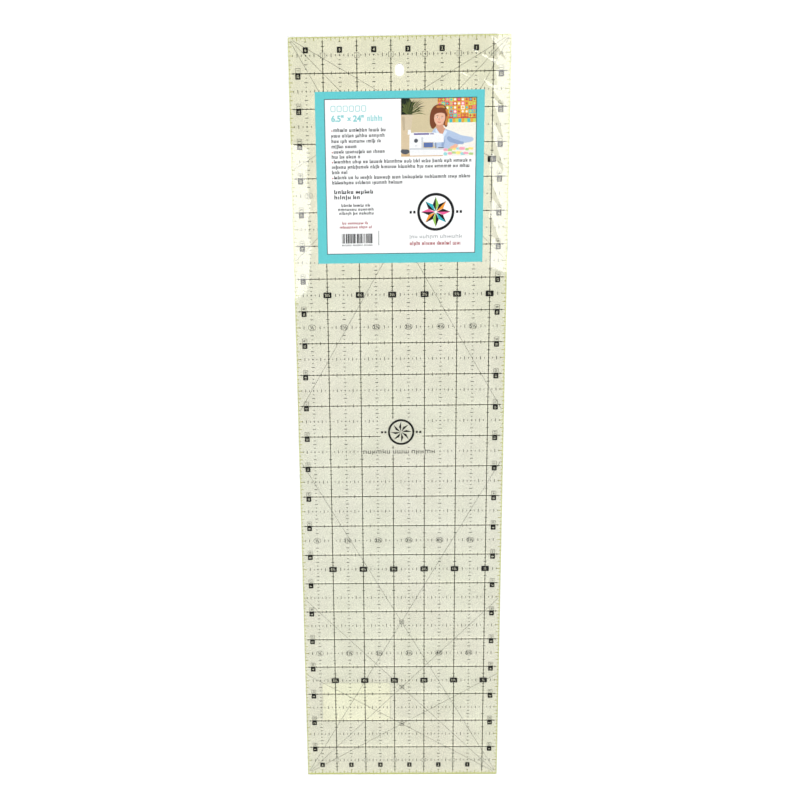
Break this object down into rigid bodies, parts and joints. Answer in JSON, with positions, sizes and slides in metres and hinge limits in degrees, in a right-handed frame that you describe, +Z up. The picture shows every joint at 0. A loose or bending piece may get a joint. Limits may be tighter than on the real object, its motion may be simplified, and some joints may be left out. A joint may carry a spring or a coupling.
{
  "type": "quilting ruler",
  "caption": "Long clear acrylic quilting ruler with a hang slot, a non-slip back and a label card, packed in a clear open-ended sleeve.",
  "frame": {"origin": "middle of the underside, on the surface that the ruler lies on", "axes": "+Z up out of the ruler's printed front, +Y along the ruler towards the end with the hang slot, +X to the right across it"},
  "size_m": [0.1662, 0.6126, 0.0059],
  "materials": {
    "acrylic": "clear, very pale yellow-green, polished",
    "grip_film": "clear with a faint haze",
    "sticker_paper": "matt paper",
    "card": "printed, satin coated",
    "sleeve_film": "thin clear glossy film"
  },
  "bodies": {
    "ruler": {"ruler_plate": "acrylic", "non_slip_film": "grip_film", "back_sticker": "sticker_paper"},
    "card": {"label_card": "card"},
    "sleeve": {"sleeve_front_film": "sleeve_film", "sleeve_back_film": "sleeve_film", "sleeve_left_seam": "sleeve_film", "sleeve_right_seam": "sleeve_film", "sleeve_end_seal": "sleeve_film"}
  },
  "joints": [
    {"name": "sleeve_slide", "type": "slide", "parent": "ruler", "child": "sleeve", "axis": [0, -1, 0], "range_m": [0, 0.63]},
    {"name": "card_slide", "type": "slide", "parent": "ruler", "child": "card", "axis": [0, 1, 0], "range_m": [0, 0.18]}
  ]
}
